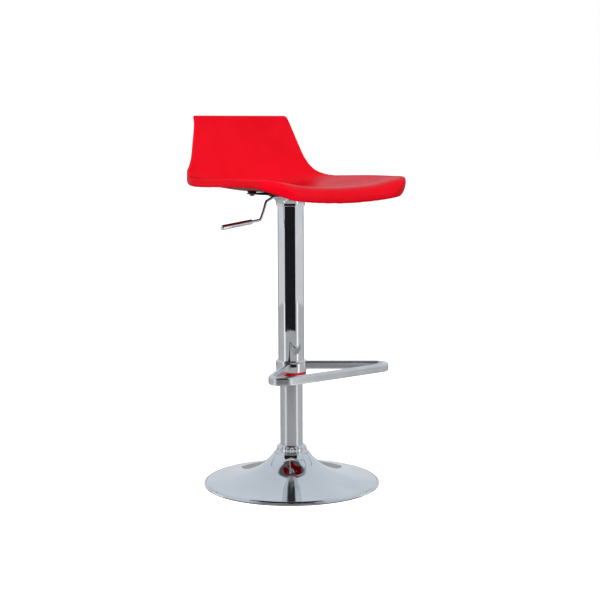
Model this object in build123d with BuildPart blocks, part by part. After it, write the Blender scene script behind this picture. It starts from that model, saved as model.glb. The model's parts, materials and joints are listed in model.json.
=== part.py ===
"""Adjustable swivel stool: gas-lift bar stool with a moulded low-back seat, footrest and trumpet base.

Millimetres, +Z up. The origin is on the floor, on the column's axis. The sitter faces -Y, and the
height lever is at the sitter's right hand, along -X. The stool stands at the middle of its travel.
"""
from build123d import *
from math import cos, radians, sin
import os

os.makedirs("parts", exist_ok=True)

# ---------------------------------------------------------------- driving dimensions
# trumpet base
BASE_R = 195.0
SHEET = 2.0
RIM_LOW_Z = 1.5
RIM_TOP_Z = 4.5
NECK_R = 37.5
NECK_Z = 70.0
NECK_BORE_R = 27.0
RETURN_FLANGE_R = 188.0

# lift column, the fixed lower tube
COLUMN_R = 25.0
COLUMN_WALL = 1.5
COLUMN_LOW_Z = 10.0
COLUMN_TOP_Z = 478.0
FOOT_R = 80.0
FOOT_LOW_Z = 7.0
BOSS_TOP_Z = 24.0
NUT_TOP_Z = 88.0

# gas spring: cylinder above, piston rod standing on the thrust bearing below
ROD_R = 5.0
ROD_LOW_Z = 3.4
PISTON_LOW_Z = 440.0
PISTON_TOP_Z = 452.0
CYLINDER_R = 14.0
CYLINDER_WALL = 1.5
CYLINDER_LOW_Z = 300.0
TAPER_LOW_Z = 592.0
TAPER_TOP_Z = 630.0
TAPER_TOP_R = 12.2
RELEASE_PIN_R = 3.0

# sleeve, the chromed tube that goes up and down with the seat
SLEEVE_R = 28.5
SLEEVE_WALL = 1.3
SLEEVE_LOW_Z = 256.0
SLEEVE_TOP_Z = 623.0

# footrest: collar on the sleeve and one upright tube bent into a rounded triangle
COLLAR_R = 33.5
COLLAR_LOW_Z = 253.0
COLLAR_TOP_Z = 278.0
BUSH_FLANGE_R = 33.0
BUSH_LOW_Z = 245.5
REST_Z = 267.0
REST_WIDTH = 14.0
REST_HEIGHT = 18.0
REST_EDGE_R = 4.0
REST_WALL = 1.5
REST_BAR_Y = -158.0
REST_CORNER_X = 126.0
REST_CORNER_R = 24.0
REST_ARM_ANGLE = 50.5

# seat mounting
HUB_R = 20.0
HUB_LOW_Z = 604.0
PLATE_LOW_Z = 643.0
PLATE_T = 2.5
PLATE_SIDE = 144.0
BOLT_PITCH = 120.0

# height lever
LEVER_R = 3.0
LEVER_Z = 638.6
PIVOT_X = -26.0
LEVER_SLOT = 9.0
GRIP_R = 5.5

# seat shell
SEAT_HALF_W = 190.0
SEAT_FRONT_Y = -200.0
FRONT_CORNER_R = 64.0
RIM_Z = 680.0
PAN_Z = 651.0
RIDGE_RISE = 15.0
PAN_LOW_Y = -20.0
SKIN = 4.5
FLANGE = 17.0
LIP_R = 32.0
LIP_DROP = 34.0
LIP_T = 6.0
LIP_OVERRUN = 3.0
RECLINE = 17.5
BACK_REF_Y = 142.0
BACK_REF_Z = 720.0
BACK_HOLLOW = 8.0
BACK_TOP_Z = 814.0
BACK_EDGE = 5.0

RUNNING = 0.07
TOUCH = 0.02


# ---------------------------------------------------------------- helpers
def annulus(z, outer, bore):
    """A ring-shaped sketch on the column's axis at height z, or a disc if bore is 0."""
    with BuildSketch(Plane.XY.offset(z)) as ring:
        Circle(outer)
        if bore:
            Circle(bore, mode=Mode.SUBTRACT)
    return ring.sketch


def tube(z_low, z_high, outer, bore=0.0, mode=Mode.ADD):
    """Adds a tube or a disc on the column's axis to the piece being built, or cuts it away."""
    extrude(annulus(z_low, outer, bore), amount=z_high - z_low, mode=mode)


def inset_points(points, depth):
    """Points of a smooth curve through the given (u, v) points, moved depth to its right."""
    curve = Spline(*points)
    moved = []
    for u, v in points:
        along = curve.tangent_at(Vector(u, v))
        moved.append((u + along.Y * depth, v - along.X * depth))
    return moved


# ---------------------------------------------------------------- base
neck_curve = [
    (NECK_R, NECK_Z),
    (NECK_R + 4, 63.5),
    (48, 56),
    (60, 45),
    (80, 32),
    (110, 20),
    (150, 11),
    (BASE_R - 3, RIM_TOP_Z + 0.7),
]
inner_curve = inset_points(neck_curve, SHEET)

with BuildPart() as base_trumpet:
    with BuildSketch(Plane.XZ):
        with BuildLine():
            Spline(*neck_curve)
            Line(neck_curve[-1], (BASE_R, RIM_TOP_Z - 1))
            Line((BASE_R, RIM_TOP_Z - 1), (BASE_R, RIM_LOW_Z))
            Line((BASE_R, RIM_LOW_Z), (RETURN_FLANGE_R, RIM_LOW_Z))
            Line((RETURN_FLANGE_R, RIM_LOW_Z), (RETURN_FLANGE_R, RIM_LOW_Z + 1))
            Line((RETURN_FLANGE_R, RIM_LOW_Z + 1), inner_curve[-1])
            Spline(*reversed(inner_curve[1:]), (NECK_R - SHEET, NECK_Z - SHEET))
            Line((NECK_R - SHEET, NECK_Z - SHEET), (NECK_BORE_R, NECK_Z - SHEET))
            Line((NECK_BORE_R, NECK_Z - SHEET), (NECK_BORE_R, NECK_Z))
            Line((NECK_BORE_R, NECK_Z), (NECK_R, NECK_Z))
        make_face()
    revolve(axis=Axis.Z)
base_trumpet.part.label = "base_trumpet"
export_step(base_trumpet.part, "parts/base_trumpet.step")

# rubber ring under the rim, the stool's only contact with the floor
RUBBER_BORE_R = 184.0
COVER_EDGE_Z = 3.4
with BuildPart() as floor_ring:
    tube(0, RIM_LOW_Z, BASE_R - 1, RUBBER_BORE_R)
    tube(RIM_LOW_Z, COVER_EDGE_Z, RETURN_FLANGE_R - 0.5, RUBBER_BORE_R)
floor_ring.part.label = "floor_ring"
export_step(floor_ring.part, "parts/floor_ring.step")

# plastic cover that closes the base from below, with an upturned edge and stiffening rings
COVER_TOP_Z = 2.2
with BuildPart() as bottom_cover:
    cover_r = RUBBER_BORE_R - 0.3
    tube(1, COVER_TOP_Z, cover_r)
    tube(COVER_TOP_Z, COVER_EDGE_Z, cover_r, cover_r - 2.7)
    for rib_r in (100, 130):
        tube(COVER_TOP_Z, COVER_TOP_Z + 1, rib_r, rib_r - 2)
bottom_cover.part.label = "bottom_cover"
export_step(bottom_cover.part, "parts/bottom_cover.step")

# cast ring that weighs the base down, under the trumpet's slope
BALLAST_BORE_R = 60.0
BALLAST_SEAT_Z = 10.2
FOOT_BOLTS = PolarLocations(71, 4, start_angle=45)
BASE_BOLT_R = 4.0
with BuildPart() as ballast_ring:
    with BuildSketch(Plane.XZ):
        with BuildLine():
            seat_edge = (FOOT_R + 2, BALLAST_SEAT_Z)
            Polyline((BALLAST_BORE_R, BALLAST_SEAT_Z), seat_edge, (FOOT_R + 2, 4), (150, 4), (150, 7.5))
            Spline((150, 7.5), (110, 16.5), (80, 28), (BALLAST_BORE_R, 40.5))
            Line((BALLAST_BORE_R, 40.5), (BALLAST_BORE_R, BALLAST_SEAT_Z))
        make_face()
    revolve(axis=Axis.Z)
    with BuildSketch(Plane.XY.offset(BALLAST_SEAT_Z)):
        with FOOT_BOLTS:
            Circle(BASE_BOLT_R + TOUCH)
    extrude(amount=17, mode=Mode.SUBTRACT)
ballast_ring.part.label = "ballast_ring"
export_step(ballast_ring.part, "parts/ballast_ring.step")

# foot plate of the column, with the boss that carries the thrust bearing
with BuildPart() as column_foot:
    tube(FOOT_LOW_Z, COLUMN_LOW_Z, FOOT_R)
    tube(COLUMN_LOW_Z, BOSS_TOP_Z, COLUMN_R - COLUMN_WALL - TOUCH)
    with BuildSketch(Plane.XY.offset(FOOT_LOW_Z)):
        Circle(ROD_R + RUNNING)
        with FOOT_BOLTS:
            Circle(BASE_BOLT_R + 0.2)
    extrude(amount=BOSS_TOP_Z, mode=Mode.SUBTRACT)
column_foot.part.label = "column_foot"
export_step(column_foot.part, "parts/column_foot.step")

# four hexagon bolts that hold the foot plate against the ballast ring
BOLT_HEAD_T = 3.9
BOLT_ACROSS_FLATS = 13.0
with BuildPart() as base_bolts:
    with BuildSketch(Plane.XY.offset(FOOT_LOW_Z - BOLT_HEAD_T)):
        with FOOT_BOLTS:
            RegularPolygon(BOLT_ACROSS_FLATS / 2, 6, major_radius=False)
    extrude(amount=BOLT_HEAD_T)
    with BuildSketch(Plane.XY.offset(FOOT_LOW_Z)):
        with FOOT_BOLTS:
            Circle(BASE_BOLT_R)
    extrude(amount=19)
base_bolts.part.label = "base_bolts"
export_step(base_bolts.part, "parts/base_bolts.step")

with BuildPart() as lift_column:
    tube(COLUMN_LOW_Z, COLUMN_TOP_Z, COLUMN_R, COLUMN_R - COLUMN_WALL)
lift_column.part.label = "lift_column"
export_step(lift_column.part, "parts/lift_column.step")

# fluted ring that clamps the trumpet's neck to the column
FLUTES = 24
FLUTE_R = 2.0
FLUTE_CIRCLE_R = 34.4
NUT_FLANGE_R = 37.3
NUT_R = 33.4
FLUTES_LOW_Z = NECK_Z + 5
with BuildPart() as ring_nut:
    with BuildSketch(Plane.XZ):
        with BuildLine():
            Polyline(
                (COLUMN_R + TOUCH, NECK_Z),
                (NUT_FLANGE_R, NECK_Z),
                (NUT_FLANGE_R, NECK_Z + 3.5),
                (NUT_FLANGE_R - 1.7, FLUTES_LOW_Z),
                (NUT_R, FLUTES_LOW_Z),
                (NUT_R, NUT_TOP_Z - 4),
                (29, NUT_TOP_Z),
                (COLUMN_R + TOUCH, NUT_TOP_Z),
                close=True,
            )
        make_face()
    revolve(axis=Axis.Z)
    with BuildSketch(Plane.XY.offset(FLUTES_LOW_Z)):
        with PolarLocations(FLUTE_CIRCLE_R, FLUTES):
            Circle(FLUTE_R)
    extrude(amount=NUT_TOP_Z - NECK_Z, mode=Mode.SUBTRACT)
ring_nut.part.label = "ring_nut"
export_step(ring_nut.part, "parts/ring_nut.step")

# plastic bush in the column's mouth that guides the gas spring's cylinder
with BuildPart() as column_guide_bush:
    tube(400, COLUMN_TOP_Z, COLUMN_R - COLUMN_WALL - TOUCH, CYLINDER_R + RUNNING)
    tube(COLUMN_TOP_Z, COLUMN_TOP_Z + 3, COLUMN_R, CYLINDER_R + RUNNING)
column_guide_bush.part.label = "column_guide_bush"
export_step(column_guide_bush.part, "parts/column_guide_bush.step")

# thrust ball bearing that the rod turns on
BALL_R = 1.9
BALL_CIRCLE_R = 9.6
BALL_Z = 28.4
BALLS = 8
RACE_R = 14.0
RACE_T = 2.4
with BuildPart() as bearing_lower_race:
    tube(BOSS_TOP_Z, BOSS_TOP_Z + RACE_T, RACE_R, ROD_R + 0.4)
bearing_lower_race.part.label = "bearing_lower_race"
export_step(bearing_lower_race.part, "parts/bearing_lower_race.step")

with BuildPart() as bearing_balls:
    with Locations((0, 0, BALL_Z)):
        with PolarLocations(BALL_CIRCLE_R, BALLS):
            Sphere(BALL_R)
bearing_balls.part.label = "bearing_balls"
export_step(bearing_balls.part, "parts/bearing_balls.step")

with BuildPart() as bearing_cage:
    tube(BALL_Z - 1, BALL_Z + 1, 12.8, 6.4)
    with BuildSketch(Plane.XY.offset(BALL_Z - 1)):
        with PolarLocations(BALL_CIRCLE_R, BALLS):
            Circle(BALL_R + 0.15)
    extrude(amount=2, mode=Mode.SUBTRACT)
bearing_cage.part.label = "bearing_cage"
export_step(bearing_cage.part, "parts/bearing_cage.step")

# ---------------------------------------------------------------- rod, turning in the base
RACE_LOW_Z = 30.6
with BuildPart() as bearing_upper_race:
    tube(RACE_LOW_Z, RACE_LOW_Z + RACE_T, RACE_R, ROD_R + TOUCH)
bearing_upper_race.part.label = "bearing_upper_race"
export_step(bearing_upper_race.part, "parts/bearing_upper_race.step")

with BuildPart() as rod_shoulder:
    tube(RACE_LOW_Z + RACE_T, RACE_LOW_Z + 7, 9, ROD_R + TOUCH)
rod_shoulder.part.label = "rod_shoulder"
export_step(rod_shoulder.part, "parts/rod_shoulder.step")

CLIP_GROOVE_R = 4.2
GROOVE_LOW_Z = 4.2
GROOVE_TOP_Z = 5.2
CLIP_PLAY = 0.05
with BuildPart() as piston_rod:
    with BuildSketch(Plane.XZ):
        with BuildLine():
            Polyline(
                (0, ROD_LOW_Z),
                (ROD_R, ROD_LOW_Z),
                (ROD_R, GROOVE_LOW_Z),
                (CLIP_GROOVE_R, GROOVE_LOW_Z),
                (CLIP_GROOVE_R, GROOVE_TOP_Z),
                (ROD_R, GROOVE_TOP_Z),
                (ROD_R, PISTON_TOP_Z),
                (0, PISTON_TOP_Z),
                close=True,
            )
        make_face()
    revolve(axis=Axis.Z)
piston_rod.part.label = "piston_rod"
export_step(piston_rod.part, "parts/piston_rod.step")

# open retaining clip in the rod's groove, and the washer above it
with BuildPart() as rod_clip:
    tube(GROOVE_LOW_Z + CLIP_PLAY, GROOVE_TOP_Z - CLIP_PLAY, 8, CLIP_GROOVE_R + TOUCH)
    with BuildSketch(Plane.XY.offset(GROOVE_LOW_Z)):
        with Locations((8, 0)):
            Rectangle(10, 5)
    extrude(amount=GROOVE_TOP_Z - GROOVE_LOW_Z, mode=Mode.SUBTRACT)
rod_clip.part.label = "rod_clip"
export_step(rod_clip.part, "parts/rod_clip.step")

with BuildPart() as rod_washer:
    tube(GROOVE_TOP_Z + CLIP_PLAY, FOOT_LOW_Z - 0.5, 9.5, ROD_R + TOUCH)
rod_washer.part.label = "rod_washer"
export_step(rod_washer.part, "parts/rod_washer.step")

with BuildPart() as piston:
    tube(PISTON_LOW_Z, PISTON_TOP_Z, CYLINDER_R - CYLINDER_WALL - RUNNING, ROD_R + TOUCH)
piston.part.label = "piston"
export_step(piston.part, "parts/piston.step")

# ---------------------------------------------------------------- gas spring cylinder
BORE_R = CYLINDER_R - CYLINDER_WALL
with BuildPart() as gas_cylinder:
    with BuildSketch(Plane.XZ):
        with BuildLine():
            Polyline(
                (BORE_R, CYLINDER_LOW_Z),
                (CYLINDER_R, CYLINDER_LOW_Z),
                (CYLINDER_R, TAPER_LOW_Z),
                (TAPER_TOP_R, TAPER_TOP_Z),
                (RELEASE_PIN_R + RUNNING, TAPER_TOP_Z),
                (RELEASE_PIN_R + RUNNING, TAPER_TOP_Z - 5),
                (TAPER_TOP_R - 2, TAPER_TOP_Z - 5),
                (BORE_R, TAPER_LOW_Z),
                close=True,
            )
        make_face()
    revolve(axis=Axis.Z)
gas_cylinder.part.label = "gas_cylinder"
export_step(gas_cylinder.part, "parts/gas_cylinder.step")

with BuildPart() as rod_guide:
    tube(CYLINDER_LOW_Z, CYLINDER_LOW_Z + 12, BORE_R - TOUCH, ROD_R + RUNNING)
rod_guide.part.label = "rod_guide"
export_step(rod_guide.part, "parts/rod_guide.step")

RELEASE_TOP_Z = LEVER_Z - LEVER_R - 0.3
with BuildPart() as release_pin:
    with BuildSketch(Plane.XZ):
        with BuildLine():
            Polyline(
                (0, TAPER_TOP_Z - 15),
                (RELEASE_PIN_R, TAPER_TOP_Z - 15),
                (RELEASE_PIN_R, RELEASE_TOP_Z - 0.6),
                (RELEASE_PIN_R - 0.6, RELEASE_TOP_Z),
                (0, RELEASE_TOP_Z),
                close=True,
            )
        make_face()
    revolve(axis=Axis.Z)
release_pin.part.label = "release_pin"
export_step(release_pin.part, "parts/release_pin.step")

# ---------------------------------------------------------------- sleeve and bell
with BuildPart() as sleeve:
    tube(SLEEVE_LOW_Z, SLEEVE_TOP_Z, SLEEVE_R, SLEEVE_R - SLEEVE_WALL)
sleeve.part.label = "sleeve"
export_step(sleeve.part, "parts/sleeve.step")

# flared cover between the sleeve's top and the seat, with a notch for the lever
bell_outer = [(29.8, 618), (30.4, 625), (33, 631.5), (39, 636.5), (47.5, 640)]
bell_inner = inset_points(bell_outer, -1.2)
with BuildPart() as bell_cover:
    with BuildSketch(Plane.XZ):
        with BuildLine():
            Spline(*bell_outer)
            Line(bell_outer[-1], bell_inner[-1])
            Spline(*reversed(bell_inner))
            Line(bell_inner[0], bell_outer[0])
        make_face()
    revolve(axis=Axis.Z)
    with BuildSketch(Plane.YZ.offset(-60)):
        with Locations((0, 640)):
            RectangleRounded(10, 20, 4)
    extrude(amount=32, mode=Mode.SUBTRACT)
bell_cover.part.label = "bell_cover"
export_step(bell_cover.part, "parts/bell_cover.step")

# coloured plastic bush under the footrest collar, sliding on the column
with BuildPart() as sleeve_bush:
    tube(BUSH_LOW_Z, COLLAR_LOW_Z, BUSH_FLANGE_R, COLUMN_R + RUNNING)
    tube(COLLAR_LOW_Z, SLEEVE_LOW_Z, SLEEVE_R - TOUCH, COLUMN_R + RUNNING)
    tube(SLEEVE_LOW_Z, 300, SLEEVE_R - SLEEVE_WALL - TOUCH, COLUMN_R + RUNNING)
    fillet(sleeve_bush.edges().filter_by(GeomType.CIRCLE).sort_by(Axis.Z)[1], 1.2)
sleeve_bush.part.label = "sleeve_bush"
export_step(sleeve_bush.part, "parts/sleeve_bush.step")

# ---------------------------------------------------------------- footrest
SET_SCREW_ANGLES = (35, 145)
SET_SCREW_Z = 270.0
SET_SCREW_R = 2.5


def set_screw_plane(angle):
    """The plane at the sleeve's surface whose normal points outwards along a set screw."""
    outward = Vector(cos(radians(angle)), sin(radians(angle)), 0)
    return Plane(origin=outward * (SLEEVE_R + 0.05) + Vector(0, 0, SET_SCREW_Z), z_dir=outward)


with BuildPart() as footrest_collar:
    tube(COLLAR_LOW_Z, COLLAR_TOP_Z, COLLAR_R, SLEEVE_R + TOUCH)
    rims = footrest_collar.edges().filter_by(GeomType.CIRCLE)
    fillet(rims.filter_by(lambda edge: edge.radius > COLLAR_R - 1), 1.2)
    for angle in SET_SCREW_ANGLES:
        with BuildSketch(set_screw_plane(angle)):
            Circle(SET_SCREW_R + TOUCH)
        extrude(amount=12, mode=Mode.SUBTRACT)
footrest_collar.part.label = "footrest_collar"
export_step(footrest_collar.part, "parts/footrest_collar.step")

# two socket set screws that hold the collar on the sleeve
with BuildPart() as footrest_screws:
    for angle in SET_SCREW_ANGLES:
        with BuildSketch(set_screw_plane(angle)):
            Circle(SET_SCREW_R)
        extrude(amount=5.6)
        with BuildSketch(set_screw_plane(angle).offset(3.4)):
            RegularPolygon(1.25, 6, major_radius=False)
        extrude(amount=3, mode=Mode.SUBTRACT)
footrest_screws.part.label = "footrest_screws"
export_step(footrest_screws.part, "parts/footrest_screws.step")

arm_along = Vector(sin(radians(REST_ARM_ANGLE)), -cos(radians(REST_ARM_ANGLE)), 0)
arm_aside = Vector(-arm_along.Y, arm_along.X, 0)
corner_centre = Vector(REST_CORNER_X, REST_BAR_Y + REST_CORNER_R, REST_Z)
arm_end = corner_centre + arm_aside * REST_CORNER_R
arm_length = arm_end.X / arm_along.X
arm_start = arm_end - arm_along * arm_length


def rest_section(plane, shrink):
    """The upright tube section, every side moved in by shrink, on a plane across the tube."""
    with BuildSketch(plane) as section:
        RectangleRounded(REST_WIDTH - 2 * shrink, REST_HEIGHT - 2 * shrink, REST_EDGE_R - shrink)
    return section.sketch


def rest_loop(shrink):
    """The footrest's closed loop as a solid bar, every side of its section moved in by shrink."""
    bar_end = Vector(REST_CORNER_X, REST_BAR_Y, REST_Z)
    bend_axis = Axis(corner_centre, (0, 0, -1))
    with BuildPart() as loop:
        arm = rest_section(Plane(origin=arm_start, x_dir=arm_aside, z_dir=arm_along), shrink)
        extrude(arm, amount=arm_length)
        bend = rest_section(Plane(origin=arm_end, x_dir=arm_aside, z_dir=arm_along), shrink)
        revolve(bend, axis=bend_axis, revolution_arc=90 + REST_ARM_ANGLE)
        bar = rest_section(Plane(origin=bar_end, x_dir=(0, -1, 0), z_dir=(-1, 0, 0)), shrink)
        extrude(bar, amount=REST_CORNER_X)
        mirror(about=Plane.YZ)
    return loop.part


with BuildPart() as footrest_loop:
    add(rest_loop(0))
    add(rest_loop(REST_WALL), mode=Mode.SUBTRACT)
    tube(COLLAR_LOW_Z, COLLAR_TOP_Z + 5, COLLAR_R + RUNNING, mode=Mode.SUBTRACT)
footrest_loop.part.label = "footrest_loop"
export_step(footrest_loop.part, "parts/footrest_loop.step")

# ---------------------------------------------------------------- seat mounting
with BuildPart() as seat_plate:
    with BuildSketch(Plane.XY.offset(PLATE_LOW_Z)):
        RectangleRounded(PLATE_SIDE, PLATE_SIDE, 14)
        with GridLocations(BOLT_PITCH, BOLT_PITCH, 2, 2):
            Circle(3.3, mode=Mode.SUBTRACT)
        with Locations((-PLATE_SIDE / 2, 0)):
            Rectangle(2 * (PLATE_SIDE / 2 - 18), LEVER_SLOT, mode=Mode.SUBTRACT)
    extrude(amount=PLATE_T)
seat_plate.part.label = "seat_plate"
export_step(seat_plate.part, "parts/seat_plate.step")

# welded hub that grips the gas spring's taper, open towards the lever at its top
with BuildPart() as taper_hub:
    with BuildSketch(Plane.XZ):
        taper_slope = (CYLINDER_R - TAPER_TOP_R) / (TAPER_TOP_Z - TAPER_LOW_Z)
        mouth_r = CYLINDER_R - taper_slope * (HUB_LOW_Z - TAPER_LOW_Z) + TOUCH
        with BuildLine():
            Polyline(
                (mouth_r, HUB_LOW_Z),
                (HUB_R - 1.5, HUB_LOW_Z),
                (HUB_R, HUB_LOW_Z + 1.5),
                (HUB_R, PLATE_LOW_Z),
                (8, PLATE_LOW_Z),
                (8, TAPER_TOP_Z + 0.5),
                (TAPER_TOP_R + TOUCH, TAPER_TOP_Z + 0.5),
                (TAPER_TOP_R + TOUCH, TAPER_TOP_Z),
                close=True,
            )
        make_face()
    revolve(axis=Axis.Z)
    with BuildSketch(Plane.XY.offset(TAPER_TOP_Z)):
        with Locations((-HUB_R / 2 - 4, 0)):
            Rectangle(HUB_R, LEVER_SLOT)
    extrude(amount=PLATE_LOW_Z - TAPER_TOP_Z, mode=Mode.SUBTRACT)
taper_hub.part.label = "taper_hub"
export_step(taper_hub.part, "parts/taper_hub.step")

# two ears under the plate, and the pin across them that the lever tilts on
EAR_GAP = 7.6
PIVOT_R = 1.5
with BuildPart() as lever_bracket:
    with BuildSketch(Plane.XZ.offset(-EAR_GAP / 2 - 2)):
        with Locations((PIVOT_X, PLATE_LOW_Z - 5.5)):
            RectangleRounded(10, 11, 2.5)
        with Locations((PIVOT_X, LEVER_Z)):
            Circle(PIVOT_R + TOUCH, mode=Mode.SUBTRACT)
    extrude(amount=2)
    mirror(about=Plane.XZ)
lever_bracket.part.label = "lever_bracket"
export_step(lever_bracket.part, "parts/lever_bracket.step")

with BuildPart() as lever_pivot_pin:
    with BuildSketch(Plane.XZ.offset(-8)):
        with Locations((PIVOT_X, LEVER_Z)):
            Circle(PIVOT_R)
    extrude(amount=16)
lever_pivot_pin.part.label = "lever_pivot_pin"
export_step(lever_pivot_pin.part, "parts/lever_pivot_pin.step")

# ---------------------------------------------------------------- height lever
# centreline in the XZ plane, from over the release pin out to the end of the grip
GRIP_START = (-105, 587.8)
GRIP_END = (-184, 578.5)
lever_route = [(3, LEVER_Z), (-46, LEVER_Z), (-66.5, 629.5), (-73.5, 610), (-82, 590.5), GRIP_START]
grip_along = (Vector(*GRIP_END) - Vector(*GRIP_START)).normalized()
grip_plane = Plane(
    origin=(GRIP_START[0], 0, GRIP_START[1]),
    x_dir=(0, 1, 0),
    z_dir=(grip_along.X, 0, grip_along.Y),
)
GRIP_LENGTH = (Vector(*GRIP_END) - Vector(*GRIP_START)).length
GRIP_BORE_DEPTH = GRIP_LENGTH - 8

with BuildPart() as lever_rod:
    with BuildLine(Plane.XZ) as lever_path:
        FilletPolyline(*lever_route, radius=(9, 8, 9, 8))
    with BuildSketch(Plane(origin=(3, 0, LEVER_Z), z_dir=(-1, 0, 0))):
        Circle(LEVER_R)
    sweep()
    with BuildSketch(grip_plane.offset(-0.01)):
        Circle(LEVER_R)
    extrude(amount=GRIP_BORE_DEPTH)
    with BuildSketch(Plane.XZ.offset(-LEVER_R - 1)):
        with Locations((PIVOT_X, LEVER_Z)):
            Circle(PIVOT_R + RUNNING)
    extrude(amount=2 * LEVER_R + 2, mode=Mode.SUBTRACT)
lever_rod.part.label = "lever_rod"
export_step(lever_rod.part, "parts/lever_rod.step")

# round-ended grip pushed over the rod
with BuildPart() as lever_grip:
    with BuildSketch(grip_plane):
        Circle(GRIP_R)
    extrude(amount=GRIP_LENGTH)
    fillet(lever_grip.edges().filter_by(GeomType.CIRCLE), 1.8)
    with BuildSketch(grip_plane):
        Circle(LEVER_R + TOUCH)
    extrude(amount=GRIP_BORE_DEPTH + TOUCH, mode=Mode.SUBTRACT)
lever_grip.part.label = "lever_grip"
export_step(lever_grip.part, "parts/lever_grip.step")

# ---------------------------------------------------------------- seat shell
BLEND_R = 60.0
BLEND_R_EDGE = 42.0
PAN_STATIONS = (-165, -135, -100, -60, PAN_LOW_Y, 30)
LIP_ANGLES = (90, 62, 34)
BLEND_ANGLES = (0, 25, 50, 90 - RECLINE)
# heights on the backrest, how far its edge curls back there, and how thick its rim is
BACK_STATIONS = ((768, 0, 7.0), (796, 0, 5.5), (808, 2, BACK_EDGE), (818, 7, BACK_EDGE))
BACK_RIM_LOW = 12.0


def pan_height(share, y):
    """Height of the pan's sitter side at share of the half width, falling to a low line at y."""
    rise = RIDGE_RISE * ((y - PAN_LOW_Y) / (-180 - PAN_LOW_Y)) ** 2 if y < PAN_LOW_Y else 0.0
    centre = PAN_Z + rise
    return centre + (RIM_Z - centre) * share**2


def seat_profile(x, inset):
    """Points of the sitter's side at x, moved inwards by inset, from lip bottom to backrest top."""
    share = abs(x) / SEAT_HALF_W
    lip_y = SEAT_FRONT_Y - LIP_OVERRUN + LIP_R
    lip_z = pan_height(share, lip_y) - LIP_R
    reach = LIP_R - inset
    points = [(lip_y - reach, lip_z + LIP_R - LIP_DROP)]
    for angle in LIP_ANGLES:
        a = radians(angle)
        points.append((lip_y - reach * sin(a), lip_z + reach * cos(a)))
    for y in PAN_STATIONS:
        points.append((y, pan_height(share, y) - inset))
    blend_r = BLEND_R + (BLEND_R_EDGE - BLEND_R) * share**2
    low_z = pan_height(share, 0)
    tilt = radians(RECLINE)
    lean_y = BACK_REF_Y + BACK_HOLLOW * (1 - share**2)
    blend_z = low_z + blend_r
    blend_y = lean_y + (blend_z - blend_r * sin(tilt) - BACK_REF_Z) * sin(tilt) / cos(tilt)
    blend_y -= blend_r * cos(tilt)
    for angle in BLEND_ANGLES:
        a = radians(angle)
        reach = blend_r + inset
        points.append((blend_y + reach * sin(a), blend_z - reach * cos(a)))
    for z, curl, _ in BACK_STATIONS:
        y = lean_y + (z - BACK_REF_Z) * sin(tilt) / cos(tilt) + curl
        points.append((y + inset * cos(tilt), z - inset * sin(tilt)))
    return points


def seat_back_profile(x):
    """Points of the far side of the rim at x, from the lip's inner edge to the backrest's top."""
    share = abs(x) / SEAT_HALF_W
    lip_z = pan_height(share, SEAT_FRONT_Y + LIP_R) - LIP_DROP
    near = seat_profile(x, FLANGE)
    on_back = len(BACK_STATIONS)
    points = [(SEAT_FRONT_Y + LIP_T, lip_z), (SEAT_FRONT_Y + FLANGE, lip_z + 4.5)]
    for y, extra in ((-171, 8.5), (-150, 3.3), (-125, 0)):
        points.append((y, pan_height(share, y) - FLANGE - extra))
    points += near[7:-on_back - 1]
    points.append(seat_profile(x, BACK_RIM_LOW)[-on_back - 1])
    for i, (_, _, rim) in enumerate(BACK_STATIONS):
        points.append(seat_profile(x, rim)[i - on_back])
    return points


def thick_slice(x, sitter, far):
    """Closed section at x between the sitter-side and far-side points."""
    with BuildSketch(Plane.YZ.offset(x)) as section:
        with BuildLine():
            Line(sitter[0], sitter[1])
            Spline(*sitter[1:])
            Line(sitter[-1], far[-1])
            Spline(*reversed(far))
            Line(far[0], sitter[0])
        make_face()
    return section.sketch


def plan_outline(inset):
    """Seat outline seen from above, moved inwards by inset."""
    with BuildSketch(Plane.XY.offset(540)) as outline:
        with BuildLine():
            half = SEAT_HALF_W
            corner_y = SEAT_FRONT_Y + FRONT_CORNER_R
            corner_x = half - FRONT_CORNER_R
            Line((0, SEAT_FRONT_Y), (corner_x, SEAT_FRONT_Y))
            RadiusArc((corner_x, SEAT_FRONT_Y), (half, corner_y), -FRONT_CORNER_R)
            Line((half, corner_y), (half, 95))
            ThreePointArc((half, 95), (half - 6, 122), (half - 20, 146))
            Line((half - 20, 146), (half - 55, 215))
            Line((half - 55, 215), (0, 215))
            mirror(about=Plane.YZ)
        make_face()
        if inset:
            offset(amount=-inset, kind=Kind.INTERSECTION)
    return outline.sketch


def front_outline(inset):
    """Seat and backrest outline seen from the front, moved inwards by inset."""
    half = SEAT_HALF_W - inset
    top_z = BACK_TOP_Z - inset
    flare = [(190, 676), (182.5, 684), (165.2, 700), (158.6, 710), (147.3, 740), (138.1, 770), (128.4, 808)]
    side = [(x - inset, z) for x, z in flare]
    corner_x = side[-1][0] - (top_z - side[-1][1])
    with BuildSketch(Plane.XZ.offset(-260)) as outline:
        with BuildLine():
            Line((0, 540), (half, 540))
            Line((half, 540), side[0])
            Spline(*side, tangents=((0, 1), (-0.2, 1)))
            RadiusArc(side[-1], (corner_x, top_z), inset - 6.2)
            Line((corner_x, top_z), (0, top_z))
            mirror(about=Plane.YZ)
        make_face()
    return outline.sketch


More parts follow.
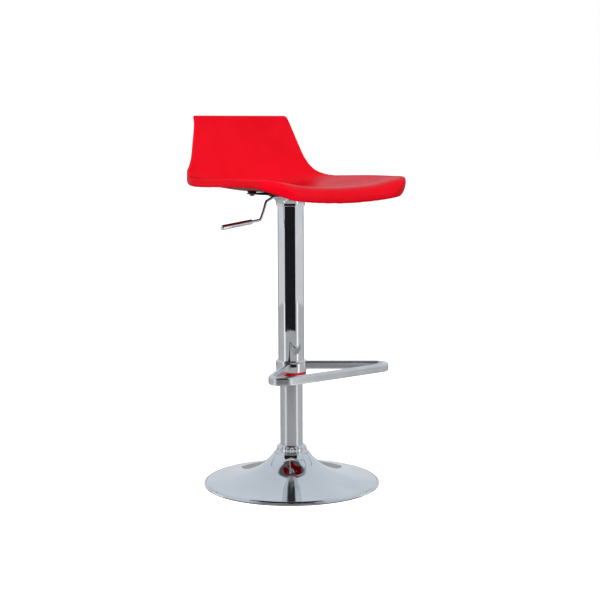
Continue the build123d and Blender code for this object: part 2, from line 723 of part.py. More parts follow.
# everything under the skin and inside the rim, taken out of the solid blank
PLATE_TOP_Z = PLATE_LOW_Z + PLATE_T
INSERT_R = 4.48
SCREW_R = 2.97
SCREW_HEAD_R = 5.6
SCREW_HEAD_T = 4.0
SEAT_SLICES = (-200, -130, -65, 0, 65, 130, 200)
HOLLOW_LOW_Z = 560
with BuildPart() as seat_hollow:
    slices = []
    for x in SEAT_SLICES:
        sitter = seat_profile(x, SKIN)
        sitter[0] = (sitter[0][0], HOLLOW_LOW_Z)
        far = [(-60, HOLLOW_LOW_Z), (150, HOLLOW_LOW_Z + 40), (sitter[-1][0] + 80, sitter[-1][1] - 10)]
        slices.append(thick_slice(x, sitter, far))
    loft(slices)
    extrude(plan_outline(SKIN), amount=320, mode=Mode.INTERSECT)
    extrude(front_outline(SKIN), amount=520, mode=Mode.INTERSECT)

with BuildPart() as seat_shell:
    loft([thick_slice(x, seat_profile(x, 0), seat_back_profile(x)) for x in SEAT_SLICES])
    extrude(plan_outline(0), amount=320, mode=Mode.INTERSECT)
    extrude(front_outline(0), amount=520, mode=Mode.INTERSECT)
    add(seat_hollow.part, mode=Mode.SUBTRACT)
    # screw bosses under the pan, with blind holes for the brass inserts
    with BuildSketch(Plane.XY.offset(PLATE_TOP_Z)):
        with GridLocations(BOLT_PITCH, BOLT_PITCH, 2, 2):
            Circle(2 * INSERT_R)
    extrude(amount=5.4)
    with BuildSketch(Plane.XY.offset(PLATE_TOP_Z)):
        with GridLocations(BOLT_PITCH, BOLT_PITCH, 2, 2):
            Circle(INSERT_R + TOUCH)
    extrude(amount=5.6, mode=Mode.SUBTRACT)
seat_shell.part.label = "seat_shell"
export_step(seat_shell.part, "parts/seat_shell.step")

with BuildPart() as seat_inserts:
    with BuildSketch(Plane.XY.offset(PLATE_TOP_Z + 0.1)):
        with GridLocations(BOLT_PITCH, BOLT_PITCH, 2, 2):
            Circle(INSERT_R)
            Circle(SCREW_R + 0.03, mode=Mode.SUBTRACT)
    extrude(amount=5.2)
seat_inserts.part.label = "seat_inserts"
export_step(seat_inserts.part, "parts/seat_inserts.step")

# four socket-head screws that hold the plate to the seat, from below
with BuildPart() as seat_bolts:
    with BuildSketch(Plane.XY.offset(PLATE_LOW_Z - SCREW_HEAD_T)):
        with GridLocations(BOLT_PITCH, BOLT_PITCH, 2, 2):
            Circle(SCREW_HEAD_R)
    extrude(amount=SCREW_HEAD_T)
    with BuildSketch(Plane.XY.offset(PLATE_LOW_Z - SCREW_HEAD_T)):
        with GridLocations(BOLT_PITCH, BOLT_PITCH, 2, 2):
            RegularPolygon(2.2, 6, major_radius=False)
    extrude(amount=SCREW_HEAD_T - 1, mode=Mode.SUBTRACT)
    with BuildSketch(Plane.XY.offset(PLATE_LOW_Z)):
        with GridLocations(BOLT_PITCH, BOLT_PITCH, 2, 2):
            Circle(SCREW_R)
    extrude(amount=7.4)
seat_bolts.part.label = "seat_bolts"
export_step(seat_bolts.part, "parts/seat_bolts.step")
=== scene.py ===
"""Adjustable swivel stool: fine surfaces, materials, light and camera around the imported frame.

Metres, +Z up, in the row frame. The sitter faces -Y and the height lever points along -X.
"""
import json
from math import cos, hypot, pi, radians, sin

import bpy
from mathutils import Matrix, Vector


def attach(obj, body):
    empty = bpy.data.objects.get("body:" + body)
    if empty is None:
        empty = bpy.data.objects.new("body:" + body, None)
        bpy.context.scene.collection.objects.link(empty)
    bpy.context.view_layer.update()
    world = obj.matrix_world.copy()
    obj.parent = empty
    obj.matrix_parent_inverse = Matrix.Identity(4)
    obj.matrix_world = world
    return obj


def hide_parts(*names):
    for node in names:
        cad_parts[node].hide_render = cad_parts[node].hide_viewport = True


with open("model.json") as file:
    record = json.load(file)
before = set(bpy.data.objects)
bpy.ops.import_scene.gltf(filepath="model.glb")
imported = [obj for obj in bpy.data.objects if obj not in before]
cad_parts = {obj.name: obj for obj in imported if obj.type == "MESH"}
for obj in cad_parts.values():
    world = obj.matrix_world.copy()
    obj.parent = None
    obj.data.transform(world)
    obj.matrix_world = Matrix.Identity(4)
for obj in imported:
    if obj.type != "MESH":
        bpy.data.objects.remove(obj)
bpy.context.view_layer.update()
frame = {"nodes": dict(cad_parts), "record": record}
scene = bpy.context.scene
MM = 0.001

# ---------------------------------------------------------------- camera
CAMERA_AT = (-1.847, -2.364, 0.785)
HEADING = -38.38
TILT = 82.89
ROLL = -0.21
LENS = 82.56
SENSOR = 36.0


def add_camera():
    data = bpy.data.cameras.new("camera")
    data.lens = LENS
    data.sensor_width = SENSOR
    camera = bpy.data.objects.new("camera", data)
    scene.collection.objects.link(camera)
    turn = Matrix.Rotation(radians(HEADING), 4, "Z") @ Matrix.Rotation(radians(TILT), 4, "X")
    camera.matrix_world = Matrix.Translation(CAMERA_AT) @ turn @ Matrix.Rotation(radians(ROLL), 4, "Z")
    scene.camera = camera


# ---------------------------------------------------------------- mesh helpers
MOST_OF_SIDE = 0.45


def add_mesh(name, verts, faces):
    """A new smooth-shaded mesh object from vertices in millimetres."""
    mesh = bpy.data.meshes.new(name)
    mesh.from_pydata([(x * MM, y * MM, z * MM) for x, y, z in verts], [], faces)
    mesh.validate()
    mesh.polygons.foreach_set("use_smooth", [True] * len(mesh.polygons))
    mesh.update()
    obj = bpy.data.objects.new(name, mesh)
    scene.collection.objects.link(obj)
    return obj


def catmull(points, per):
    """A smooth line through the points, per steps to a span, as a list of tuples of the same size."""
    out = []
    for i in range(len(points) - 1):
        p1, p2 = points[i], points[i + 1]
        p0 = points[i - 1] if i else tuple(2 * a - b for a, b in zip(p1, p2))
        p3 = points[i + 2] if i + 2 < len(points) else tuple(2 * b - a for a, b in zip(p1, p2))
        for k in range(per):
            t = k / per
            out.append(tuple(
                0.5 * (2 * b + (c - a) * t + (2 * a - 5 * b + 4 * c - d) * t**2 + (3 * b - a - 3 * c + d) * t**3)
                for a, b, c, d in zip(p0, p1, p2, p3)
            ))
    out.append(tuple(points[-1]))
    return out


def bend(before, corner, after, per):
    """Points on a smooth bend from before to after, drawn towards the corner."""
    shares = [k / per for k in range(per + 1)]
    return [before * (1 - t) ** 2 + corner * 2 * t * (1 - t) + after * t**2 for t in shares]


def rounded(points, radii, per):
    """A closed profile with each corner cut back and rounded by its own radius."""
    out = []
    for i, (point, r) in enumerate(zip(points, radii)):
        p = Vector(point)
        if not r:
            out.append(tuple(p))
            continue
        a = Vector(points[i - 1]) - p
        b = Vector(points[(i + 1) % len(points)]) - p
        back = min(r, a.length * MOST_OF_SIDE, b.length * MOST_OF_SIDE)
        out += [tuple(q) for q in bend(p + a.normalized() * back, p, p + b.normalized() * back, per)]
    return out


def lathe(name, profile, steps, wave=None):
    """A closed (r, z) profile turned about the column's axis. wave(r, z, angle) may move r."""
    verts, faces = [], []
    n = len(profile)
    for s in range(steps):
        a = 2 * pi * s / steps
        for r, z in profile:
            if wave:
                r = wave(r, z, a)
            verts.append((r * cos(a), r * sin(a), z))
    for s in range(steps):
        t = (s + 1) % steps
        for i in range(n):
            j = (i + 1) % n
            faces.append((s * n + i, t * n + i, t * n + j, s * n + j))
    return add_mesh(name, verts, faces)


def sweep(name, path, section, up, scales=None):
    """A (side, up) section carried along a path of points, with both ends closed."""
    verts, faces = [], []
    n, m = len(path), len(section)
    points = [Vector(p) for p in path]
    for i, p in enumerate(points):
        along = (points[min(i + 1, n - 1)] - points[max(i - 1, 0)]).normalized()
        side = along.cross(Vector(up)).normalized()
        top = side.cross(along)
        k = scales[i] if scales else 1.0
        verts += [tuple(p + side * u * k + top * v * k) for u, v in section]
    for i in range(n - 1):
        for k in range(m):
            q = (k + 1) % m
            faces.append((i * m + k, i * m + q, (i + 1) * m + q, (i + 1) * m + k))
    faces.append(tuple(reversed(range(m))))
    faces.append(tuple(range((n - 1) * m, n * m)))
    return add_mesh(name, verts, faces)


def circle(radius, count):
    return [(radius * cos(2 * pi * k / count), radius * sin(2 * pi * k / count)) for k in range(count)]


def tube_wall(inner, outer, low, high):
    """The (r, z) outline of a tube's wall."""
    return [(inner, low), (outer, low), (outer, high), (inner, high)]


def bake_modifiers(obj):
    """Replaces the object's mesh by what its modifiers make of it."""
    graph = bpy.context.evaluated_depsgraph_get()
    graph.update()
    mesh = bpy.data.meshes.new_from_object(obj.evaluated_get(graph))
    obj.modifiers.clear()
    obj.data = mesh


# ---------------------------------------------------------------- materials
COLOR_SPREAD = (0.35, 0.65)
ROUGH_SPREAD = (0.3, 0.7)
ROUGH_GRAIN = 2.7
EVEN = (1, 1, 1)


def new_material(name, color, metallic, roughness):
    material = bpy.data.materials.new(name)
    material.use_nodes = True
    shader = material.node_tree.nodes["Principled BSDF"]
    shader.inputs["Base Color"].default_value = (*color, 1)
    shader.inputs["Metallic"].default_value = metallic
    shader.inputs["Roughness"].default_value = roughness
    return material, material.node_tree, shader


def noise(tree, scale, detail=3.0, stretch=EVEN):
    """A noise texture in the object's own coordinates, and its output socket."""
    place = tree.nodes.new("ShaderNodeTexCoord")
    mapping = tree.nodes.new("ShaderNodeMapping")
    mapping.inputs["Scale"].default_value = stretch
    texture = tree.nodes.new("ShaderNodeTexNoise")
    texture.inputs["Scale"].default_value = scale
    texture.inputs["Detail"].default_value = detail
    tree.links.new(place.outputs["Object"], mapping.inputs["Vector"])
    tree.links.new(mapping.outputs["Vector"], texture.inputs["Vector"])
    return texture.outputs["Fac"]


def vary_color(tree, shader, fac, low, high):
    ramp = tree.nodes.new("ShaderNodeValToRGB")
    for element, position, color in zip(ramp.color_ramp.elements, COLOR_SPREAD, (low, high)):
        element.position = position
        element.color = (*color, 1)
    tree.links.new(fac, ramp.inputs["Fac"])
    tree.links.new(ramp.outputs["Color"], shader.inputs["Base Color"])


def vary_roughness(tree, shader, fac, low, high):
    spread = tree.nodes.new("ShaderNodeMapRange")
    spread.inputs["From Min"].default_value, spread.inputs["From Max"].default_value = ROUGH_SPREAD
    spread.inputs["To Min"].default_value = low
    spread.inputs["To Max"].default_value = high
    tree.links.new(fac, spread.inputs["Value"])
    tree.links.new(spread.outputs["Result"], shader.inputs["Roughness"])


def add_bump(tree, shader, fac, strength, depth_mm):
    bump = tree.nodes.new("ShaderNodeBump")
    bump.inputs["Strength"].default_value = strength
    bump.inputs["Distance"].default_value = depth_mm * MM
    tree.links.new(fac, bump.inputs["Height"])
    tree.links.new(bump.outputs["Normal"], shader.inputs["Normal"])


def finish_material(name, low, high, metallic, rough, grain, bump, stretch=EVEN):
    """Colour and roughness vary with a noise whose scale is grain; bump is (scale, strength, mm)."""
    material, tree, shader = new_material(name, high, metallic, rough[1])
    vary_color(tree, shader, noise(tree, grain, stretch=stretch), low, high)
    vary_roughness(tree, shader, noise(tree, grain * ROUGH_GRAIN, stretch=stretch), *rough)
    scale, strength, depth = bump
    add_bump(tree, shader, noise(tree, scale, stretch=stretch), strength, depth)
    return material


def seat_material():
    """Moulded plastic: even saturated colour, satin gloss and a fine leathery grain."""
    material, tree, shader = new_material("red_seat", (0.80, 0.0015, 0.012), 0.0, 0.36)
    vary_color(tree, shader, noise(tree, 14, 2.0), (0.76, 0.001, 0.010), (0.82, 0.002, 0.014))
    vary_roughness(tree, shader, noise(tree, 90), 0.30, 0.38)
    add_bump(tree, shader, noise(tree, 900, 4.0), 0.30, 0.12)
    shader.inputs["Specular IOR Level"].default_value = 0.06
    return material


# slot: low colour, high colour, metallic, roughness range, grain scale, bump and, for drawn tubes, stretch
FINISHES = {
    "mirror_chrome": ((0.80, 0.81, 0.83), (0.86, 0.87, 0.88), 1.0, (0.02, 0.06), 22, (60, 0.03, 0.05)),
    "satin_chrome": (
        (0.74, 0.75, 0.77), (0.82, 0.83, 0.84), 1.0, (0.20, 0.27), 30, (260, 0.05, 0.02), (1, 1, 0.08)),
    "base_chrome": ((0.78, 0.80, 0.82), (0.84, 0.86, 0.88), 1.0, (0.03, 0.07), 12, (25, 0.03, 0.05)),
    "rubber": ((0.012, 0.012, 0.012), (0.03, 0.03, 0.03), 0.0, (0.65, 0.85), 60, (400, 0.3, 0.1)),
    "black_plastic": ((0.018, 0.018, 0.02), (0.035, 0.035, 0.037), 0.0, (0.4, 0.6), 50, (700, 0.2, 0.08)),
    "cast_iron": ((0.06, 0.06, 0.06), (0.17, 0.165, 0.16), 0.7, (0.6, 0.85), 90, (300, 0.6, 0.3)),
    "steel": ((0.42, 0.43, 0.44), (0.58, 0.59, 0.60), 1.0, (0.22, 0.38), 120, (500, 0.08, 0.02)),
    "black_steel": ((0.02, 0.02, 0.021), (0.05, 0.05, 0.052), 0.1, (0.4, 0.55), 80, (900, 0.25, 0.05)),
    "red_bush": ((0.50, 0.003, 0.008), (0.62, 0.004, 0.012), 0.0, (0.22, 0.32), 40, (500, 0.1, 0.05)),
    "brass": ((0.62, 0.44, 0.16), (0.78, 0.60, 0.28), 1.0, (0.2, 0.35), 150, (300, 0.1, 0.03)),
}
MATERIALS = {"red_seat": seat_material()}
MATERIALS.update({slot: finish_material(slot, *values) for slot, values in FINISHES.items()})


def place(obj, body, slot, node):
    """The piece rides on a body, takes a slot's finish and stands for a CAD node."""
    obj.data.materials.append(MATERIALS[slot])
    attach(obj, body)
    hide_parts(node)


# ---------------------------------------------------------------- base
# outlines are (radius, height) points in millimetres
NECK = [(37.5, 70), (41.5, 63.5), (48, 56), (60, 45), (80, 32), (110, 20), (150, 11), (190.4, 5.5)]
NECK_TOP = [(27, 70), (36.2, 70)]
NECK_INSIDE = [(36, 68), (27, 68)]
BASE_T = 2.0
UNDER_FROM_R = 37
UNDER_DOWN_TO_Z = 3.0
BEAD_AT = (190.4, 3.3)
BEAD_SIZE = (4.6, 2.2)
RIM_FOOT = [(195, 2.2), (194.7, 1.7), (194.2, 1.5), (188.4, 1.5), (188, 1.9), (188, 2.6)]


def offset_line(points, depth):
    """The (r, z) line moved by depth to its right."""
    out = []
    for i, (r, z) in enumerate(points):
        r0, z0 = points[max(i - 1, 0)]
        r1, z1 = points[min(i + 1, len(points) - 1)]
        length = hypot(r1 - r0, z1 - z0)
        out.append((r + (z1 - z0) / length * depth, z - (r1 - r0) / length * depth))
    return out


def build_base():
    slope = catmull(NECK, 12)
    under = [(r, z) for r, z in offset_line(slope, -BASE_T) if r > UNDER_FROM_R and z > UNDER_DOWN_TO_Z]
    turns = [radians(a) for a in range(15, 91, 15)]
    bead = [(BEAD_AT[0] + BEAD_SIZE[0] * sin(a), BEAD_AT[1] + BEAD_SIZE[1] * cos(a)) for a in turns]
    profile = NECK_TOP + slope[1:] + bead + RIM_FOOT + list(reversed(under)) + NECK_INSIDE
    place(lathe("base_skin", profile, 256), "base", "base_chrome", "base_trumpet")


# ---------------------------------------------------------------- ring nut
NUT_BODY = [
    (25.03, 70), (37.3, 70), (37.3, 73.2), (35.4, 75.2), (33.6, 75.8), (33.6, 83.2), (30.6, 87), (29.2, 88),
    (25.03, 88),
]
NUT_EDGES = (0, 0.6, 0.8, 0.6, 0.8, 1.2, 0.8, 0.6, 0.2)
NUT_OUTSIDE_R = 28
FLUTED_R = 30
FLUTED_Z = (74.5, 87.2)
FLUTE_RUNOUT = 1.5
FLUTE_DEPTH = 1.15
FLUTES = 24
FLUTE_SHARPNESS = 0.7
LONG_SIDE = 3
LONG_SIDE_CUTS = 6


def flute(r, z, a):
    """The nut's radius with its upright flutes cut in."""
    if r < FLUTED_R or not FLUTED_Z[0] < z < FLUTED_Z[1]:
        return r
    depth = min(1.0, (z - FLUTED_Z[0]) / FLUTE_RUNOUT, (FLUTED_Z[1] - z) / FLUTE_RUNOUT)
    return r - FLUTE_DEPTH * depth * max(0.0, cos(FLUTES * a)) ** FLUTE_SHARPNESS


def build_ring_nut():
    fine = rounded(NUT_BODY, NUT_EDGES, 4)
    dense = []
    for i, (r, z) in enumerate(fine):
        r1, z1 = fine[(i + 1) % len(fine)]
        outside = min(r, r1) > NUT_OUTSIDE_R and hypot(r1 - r, z1 - z) > LONG_SIDE
        cuts = LONG_SIDE_CUTS if outside else 1
        dense += [(r + (r1 - r) * k / cuts, z + (z1 - z) * k / cuts) for k in range(cuts)]
    place(lathe("ring_nut_fluted", dense, 288, flute), "base", "mirror_chrome", "ring_nut")


# ---------------------------------------------------------------- column, sleeve, bell, collar and bush
COLUMN = tube_wall(23.5, 25, 10, 478)
COLUMN_EDGES = (0.4, 0.5, 0.6, 0.5)
SLEEVE = tube_wall(27.2, 28.5, 256, 623)
SLEEVE_EDGES = (0.3, 0.4, 0.5, 0.4)
BELL = [(29.8, 618), (30.4, 625), (33, 631.5), (39, 636.5), (47.5, 640)]
BELL_T = 1.2
NOTCH = [(-5, 629.6), (5, 629.6), (5, 652), (-5, 652)]
NOTCH_EDGES = (4, 4, 0, 0)
NOTCH_X = (-60, -26)
COLLAR = tube_wall(28.52, 33.5, 253, 278)
COLLAR_EDGES = (0.4, 1.6, 1.8, 0.6)
BUSH = [
    (25.07, 245.5), (33, 245.5), (33, 252.98), (28.48, 252.98), (28.48, 256), (27.18, 256), (27.18, 300),
    (25.07, 300),
]
BUSH_EDGES = (0.4, 1.6, 0.6, 0, 0, 0, 0.3, 0.3)


def build_column():
    place(lathe("column_tube", rounded(COLUMN, COLUMN_EDGES, 4), 160), "base", "satin_chrome", "lift_column")


def build_sleeve():
    tube = lathe("sleeve_tube", rounded(SLEEVE, SLEEVE_EDGES, 4), 192)
    place(tube, "seat", "mirror_chrome", "sleeve")


def make_notch():
    """The block that cuts the lever's slot in the bell."""
    section = rounded(NOTCH, NOTCH_EDGES, 6)
    n = len(section)
    mesh = bpy.data.meshes.new("notch")
    faces = [tuple(range(n)), tuple(reversed(range(n, 2 * n)))]
    faces += [(k, n + k, n + (k + 1) % n, (k + 1) % n) for k in range(n)]
    mesh.from_pydata([(x * MM, y * MM, z * MM) for x in NOTCH_X for y, z in section], [], faces)
    block = bpy.data.objects.new("notch", mesh)
    scene.collection.objects.link(block)
    return block


def build_bell():
    outer = catmull(BELL, 8)
    inner = offset_line(outer, BELL_T)
    bell = lathe("bell_flare", outer + list(reversed(inner)), 192)
    block = make_notch()
    slot = bell.modifiers.new("notch", "BOOLEAN")
    slot.operation = "DIFFERENCE"
    slot.object = block
    slot.solver = "EXACT"
    bake_modifiers(bell)
    bpy.data.objects.remove(block)
    place(bell, "seat", "mirror_chrome", "bell_cover")


def build_collar():
    ring = lathe("collar_ring", rounded(COLLAR, COLLAR_EDGES, 6), 192)
    place(ring, "seat", "mirror_chrome", "footrest_collar")
    bush = lathe("bush_ring", rounded(BUSH, BUSH_EDGES, 5), 160)
    place(bush, "seat", "red_bush", "sleeve_bush")


# ---------------------------------------------------------------- height lever
LEVER_ROUTE = [(3, 638.6), (-46, 638.6), (-66.5, 629.5), (-73.5, 610), (-82, 590.5), (-105, 587.8)]
LEVER_BENDS = (0, 9, 8, 9, 8, 0)
LEVER_R = 3.0
GRIP_END = (-184, 578.5)
ROD_IN_GRIP = 0.6
GRIP_NEAR_END = [(0, 3.05), (0.0, 3.9), (0.35, 4.7), (1.1, 5.25), (2.0, 5.5)]
GRIP_FAR_END = [(2.4, 5.5), (1.3, 5.2), (0.5, 4.6), (0.1, 3.8), (0, 3.0)]
RING_GAP = 0.01


def lever_line():
    """The lever's centreline in the XZ plane, with each corner on an arc-like curve."""
    out = []
    for i, (x, z) in enumerate(LEVER_ROUTE):
        p = Vector((x, z))
        if not LEVER_BENDS[i]:
            out.append(p)
            continue
        a = (Vector(LEVER_ROUTE[i - 1]) - p).normalized()
        b = (Vector(LEVER_ROUTE[i + 1]) - p).normalized()
        half = a.angle(b) / 2
        back = LEVER_BENDS[i] * cos(half) / sin(half)
        out += bend(p + a * back, p, p + b * back, 10)
    return [(p.x, 0, p.y) for p in out]


def build_lever():
    line = lever_line()
    grip = Vector((GRIP_END[0] - LEVER_ROUTE[-1][0], 0, GRIP_END[1] - LEVER_ROUTE[-1][1]))
    start = Vector(line[-1])
    route = line + [tuple(start + grip * ROD_IN_GRIP)]
    rod = sweep("lever_bent_rod", route, circle(LEVER_R, 28), (0, 1, 0))
    place(rod, "lever", "mirror_chrome", "lever_rod")
    length = grip.length
    grip.normalize()
    steps = GRIP_NEAR_END + [(length - d, r) for d, r in GRIP_FAR_END]
    path = [tuple(start + grip * (d + RING_GAP * i)) for i, (d, r) in enumerate(steps)]
    handle = sweep("lever_handle", path, circle(1.0, 40), (0, 1, 0), [r for d, r in steps])
    place(handle, "lever", "mirror_chrome", "lever_grip")


# ---------------------------------------------------------------- seat
SEAT_VOXEL = 1.3
SEAT_SMOOTHING = 8
SEAT_FACES = 95000
LIP_SMOOTHING = 45
# each span is where an effect grows from nothing to whole, in millimetres
LIP_Y = (-10, 50)
WIDEN = 2.0
WIDEN_X = (60, 130)
TUCK = 7.0
TUCK_X = (100, 165)
TUCK_Y = (60, 130)
TUCK_FROM_Z = 668
TUCK_DOWN = (0, 26)
RIM_LIFT = 3.0
LIFT_X = (70, 150)
LIFT_Y = (-40, 60)
LIFT_Z = (655, 675)


def ease(low, high, value):
    """0 below low, 1 above high, smooth between them."""
    s = max(0.0, min(1.0, (value - low) / (high - low)))
    return s * s * (3 - 2 * s)


def trim_shape(mesh):
    """Small corrections after the smoothing: full width, level front rims, corners tucked in below."""
    for vert in mesh.vertices:
        x, y, z = (v / MM for v in vert.co)
        corner = ease(*TUCK_Y, -y) * ease(*TUCK_X, abs(x))
        wide = WIDEN * ease(*WIDEN_X, abs(x)) - TUCK * corner * ease(*TUCK_DOWN, TUCK_FROM_Z - z)
        vert.co.x += (wide if x > 0 else -wide) * MM
        vert.co.z += RIM_LIFT * MM * ease(*LIFT_X, abs(x)) * ease(*LIFT_Y, -y) * ease(*LIFT_Z, z)
    mesh.update()


def smooth(obj, iterations, group=""):
    soft = obj.modifiers.new("soft", "SMOOTH")
    soft.iterations = iterations
    soft.vertex_group = group


def build_seat():
    """The seat shell with every edge softly rounded, as moulded plastic is."""
    shell = bpy.data.objects.new("seat_moulding", frame["nodes"]["seat_shell"].data.copy())
    shell.data.materials.clear()
    scene.collection.objects.link(shell)
    fine = shell.modifiers.new("fine", "REMESH")
    fine.mode = "VOXEL"
    fine.voxel_size = SEAT_VOXEL * MM
    fine.use_smooth_shade = True
    smooth(shell, SEAT_SMOOTHING)
    bake_modifiers(shell)
    lip = shell.vertex_groups.new(name="lip")
    for vert in shell.data.vertices:
        lip.add([vert.index], ease(*LIP_Y, -vert.co.y / MM), "REPLACE")
    smooth(shell, LIP_SMOOTHING, "lip")
    bake_modifiers(shell)
    trim_shape(shell.data)
    thin = shell.modifiers.new("thin", "DECIMATE")
    thin.ratio = min(1.0, SEAT_FACES / len(shell.data.polygons))
    bake_modifiers(shell)
    shell.data.polygons.foreach_set("use_smooth", [True] * len(shell.data.polygons))
    place(shell, "seat", "red_seat", "seat_shell")


# ---------------------------------------------------------------- the CAD nodes that stay
def dress_nodes():
    """Each shown CAD node takes the material of its slot in the record."""
    for part in frame["record"]["subparts"]:
        node = frame["nodes"][part["node"]]
        if node.hide_render:
            continue
        node.data.materials.clear()
        node.data.materials.append(MATERIALS[part["material_slot"]])


# ---------------------------------------------------------------- studio
# sizes here are in metres, and azimuths count from the camera's side in degrees
CAMERA_SIDE = -90 + HEADING
WHITE = (1, 1, 1)
FLOOR_R = 30.0
FLOOR_POINTS = 96
FLOOR_COLOR = (0.98, 0.98, 0.98)
FLOOR_ROUGHNESS = 0.9
FLOOR_GLOW = 0.75
BACKDROP_R = FLOOR_R - 1
BACKDROP_LOW = -3
DOME_RINGS = 18
DOME_POINTS = 96
LIGHT_BELOW = 0.10
LIGHT_ABOVE = 0.40
HORIZON_BLUR = 0.06
SKY_R = 28.0
SKY = (
    (0.0, (0.68, 0.70, 0.74)), (0.20, (0.66, 0.69, 0.74)), (0.27, (0.61, 0.66, 0.71)),
    (0.89, (0.57, 0.62, 0.68)), (0.92, (0.07, 0.08, 0.075)), (1.0, (0.10, 0.11, 0.10)),
)
# cards lying on the floor: name, from and to azimuth, near and far radius, tone
FLOOR_CARD_Z = -0.001
FLOOR_NEAR = 2.8
FLOOR_FACET = 6
FLOOR_TINT = (0.97, 0.985, 1)
FLOOR_CARDS = (
    ("floor_front", -50, 52, 0.0, FLOOR_NEAR, 0.40),
    ("floor_left_strip", -66, -50, 0.0, FLOOR_NEAR, 1.0),
    ("floor_right_strip", 52, 66, 0.0, FLOOR_NEAR, 1.15),
    ("floor_left", -132, -66, 0.0, FLOOR_NEAR, 0.46),
    ("floor_right", 66, 132, 0.0, FLOOR_NEAR, 0.48),
    ("floor_back", 132, 228, 0.0, FLOOR_NEAR, 0.34),
    ("floor_far", -140, 140, FLOOR_NEAR, FLOOR_R, 0.68),
    ("floor_behind", 140, 220, FLOOR_NEAR, FLOOR_R, 0.25),
)
# upright cards: name, from and to azimuth, radius, low and high edge, colour
CARD_R = 1.6
CARD_TOP = 2.6
CARD_FACET = 4
SEAM_COLOR = (0.1, 0.11, 0.12)
UPRIGHT_CARDS = (
    ("card_front", -54, 41, CARD_R, 0.0, CARD_TOP, (0.012, 0.012, 0.014)),
    ("seam_left", -126, -128, 2.6, 0.5, 2.6, SEAM_COLOR),
    ("seam_right", 126, 128, 2.6, 0.5, 2.6, SEAM_COLOR),
)
# soft boxes: name, place, width, height, watts
LAMP_TARGET = (0, 0, 0.6)
LAMPS = (
    ("key", (-2.3, -1.6, 1.5), 1.2, 0.9, 74),
    ("fill", (1.0, -2.4, 1.3), 1.2, 1.2, 16),
)


def glow_material(name, color):
    """A studio surface that gives off its own even colour."""
    material = bpy.data.materials.new(name)
    material.use_nodes = True
    tree = material.node_tree
    tree.nodes.remove(tree.nodes["Principled BSDF"])
    lamp = tree.nodes.new("ShaderNodeEmission")
    lamp.inputs["Color"].default_value = (*color, 1)
    lamp.inputs["Strength"].default_value = 1.0
    tree.links.new(lamp.outputs["Emission"], tree.nodes["Material Output"].inputs["Surface"])
    return material


def floor_material():
    """White, and partly lit from within so that it stays white."""
    material = bpy.data.materials.new("floor")
    material.use_nodes = True
    shader = material.node_tree.nodes["Principled BSDF"]
    shader.inputs["Base Color"].default_value = (*FLOOR_COLOR, 1)
    shader.inputs["Roughness"].default_value = FLOOR_ROUGHNESS
    shader.inputs["Emission Color"].default_value = (*WHITE, 1)
    shader.inputs["Emission Strength"].default_value = FLOOR_GLOW
    return material


def stage_mesh(name, verts, faces, material):
    mesh = bpy.data.meshes.new(name)
    mesh.from_pydata(verts, [], faces)
    mesh.materials.append(material)
    obj = bpy.data.objects.new(name, mesh)
    scene.collection.objects.link(obj)
    return obj


def show_only(obj, camera=False, glossy=False):
    """The object shows to the camera or in reflections, and nowhere else."""
    obj.visible_camera = camera
    obj.visible_glossy = glossy
    obj.visible_diffuse = False
    obj.visible_shadow = False
    obj.visible_transmission = False


def ring_card(name, from_az, to_az, edges, facet, color):
    """A card between two (radius, height) edges that run round the object, seen only in reflections."""
    steps = max(2, int(abs(to_az - from_az) / facet))
    verts = []
    for k in range(steps + 1):
        a = radians(CAMERA_SIDE + from_az + (to_az - from_az) * k / steps)
        verts += [(r * cos(a), r * sin(a), z) for r, z in edges]
    faces = [(2 * k, 2 * k + 1, 2 * k + 3, 2 * k + 2) for k in range(steps)]
    show_only(stage_mesh(name, verts, faces, glow_material(name, color)), glossy=True)


def shell_dome(name, radius, lowest, material):
    """A dome over the floor, from the lowest elevation up."""
    verts, faces = [], []
    for i in range(DOME_RINGS + 1):
        e = radians(lowest + (90 - lowest) * i / DOME_RINGS)
        for k in range(DOME_POINTS):
            a = 2 * pi * k / DOME_POINTS
            verts.append((radius * cos(e) * cos(a), radius * cos(e) * sin(a), radius * sin(e)))
    for i in range(DOME_RINGS):
        low_ring, high_ring = i * DOME_POINTS, (i + 1) * DOME_POINTS
        for k in range(DOME_POINTS):
            j = (k + 1) % DOME_POINTS
            faces.append((low_ring + k, low_ring + j, high_ring + j, high_ring + k))
    dome = stage_mesh(name, verts, faces, material)
    dome.data.polygons.foreach_set("use_smooth", [True] * len(faces))
    return dome


def sky_material():
    """What the chrome reflects above the floor: pale low down, blue grey higher up, dark overhead."""
    material = glow_material("reflected_sky", WHITE)
    tree = material.node_tree
    where = tree.nodes.new("ShaderNodeTexCoord")
    split = tree.nodes.new("ShaderNodeSeparateXYZ")
    share = tree.nodes.new("ShaderNodeMapRange")
    share.inputs["From Max"].default_value = SKY_R
    ramp = tree.nodes.new("ShaderNodeValToRGB")
    tree.links.new(where.outputs["Object"], split.inputs["Vector"])
    tree.links.new(split.outputs["Z"], share.inputs["Value"])
    tree.links.new(share.outputs["Result"], ramp.inputs["Fac"])
    tree.links.new(ramp.outputs["Color"], tree.nodes["Emission"].inputs["Color"])
    elements = ramp.color_ramp.elements
    elements[0].position, elements[0].color = SKY[0][0], (*SKY[0][1], 1)
    elements[1].position, elements[1].color = SKY[-1][0], (*SKY[-1][1], 1)
    for at, color in SKY[1:-1]:
        elements.new(at).color = (*color, 1)
    return material


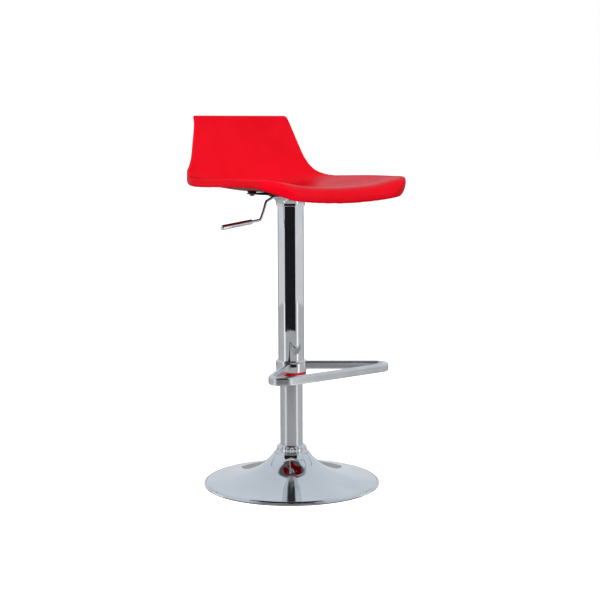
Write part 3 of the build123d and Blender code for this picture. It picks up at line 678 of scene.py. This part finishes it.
def add_world():
    """Even white light from above the horizon and little from below it, so undersides stay dark."""
    world = bpy.data.worlds.new("studio")
    scene.world = world
    world.use_nodes = True
    world.cycles_visibility.glossy = False
    tree = world.node_tree
    where = tree.nodes.new("ShaderNodeTexCoord")
    split = tree.nodes.new("ShaderNodeSeparateXYZ")
    ramp = tree.nodes.new("ShaderNodeMapRange")
    ramp.inputs["From Min"].default_value = -HORIZON_BLUR
    ramp.inputs["From Max"].default_value = HORIZON_BLUR
    ramp.inputs["To Min"].default_value = LIGHT_BELOW
    ramp.inputs["To Max"].default_value = LIGHT_ABOVE
    tree.nodes["Background"].inputs["Color"].default_value = (*WHITE, 1)
    tree.links.new(where.outputs["Generated"], split.inputs["Vector"])
    tree.links.new(split.outputs["Z"], ramp.inputs["Value"])
    tree.links.new(ramp.outputs["Result"], tree.nodes["Background"].inputs["Strength"])


def soft_box(name, at, width, height, watts):
    data = bpy.data.lights.new(name, "AREA")
    data.shape = "RECTANGLE"
    data.size = width
    data.size_y = height
    data.energy = watts
    lamp = bpy.data.objects.new(name, data)
    lamp.location = at
    lamp.rotation_euler = (Vector(LAMP_TARGET) - Vector(at)).to_track_quat("-Z", "Y").to_euler()
    lamp.visible_glossy = False
    scene.collection.objects.link(lamp)


def add_floor():
    """The floor lights nothing else and shows in no reflection; the cards below it do that."""
    turns = [2 * pi * k / FLOOR_POINTS for k in range(FLOOR_POINTS)]
    ring = [(FLOOR_R * cos(a), FLOOR_R * sin(a), 0) for a in turns]
    ground = stage_mesh("floor", ring, [tuple(range(FLOOR_POINTS))], floor_material())
    ground.visible_diffuse = False
    ground.visible_glossy = False


def build_studio():
    scene.view_settings.view_transform = "Standard"
    add_world()
    add_floor()
    for name, start, end, near, far, tone in FLOOR_CARDS:
        color = tuple(tone * tint for tint in FLOOR_TINT)
        ring_card(name, start, end, ((near, FLOOR_CARD_Z), (far, FLOOR_CARD_Z)), FLOOR_FACET, color)
    backdrop = shell_dome("backdrop", BACKDROP_R, BACKDROP_LOW, glow_material("backdrop", WHITE))
    show_only(backdrop, camera=True)
    show_only(shell_dome("reflected_sky", SKY_R, 0, sky_material()), glossy=True)
    for name, start, end, radius, bottom, top, color in UPRIGHT_CARDS:
        ring_card(name, start, end, ((radius, bottom), (radius, top)), CARD_FACET, color)
    for lamp in LAMPS:
        soft_box(*lamp)


build_base()
build_ring_nut()
build_column()
build_sleeve()
build_bell()
build_collar()
build_lever()
build_seat()
dress_nodes()
build_studio()
add_camera()
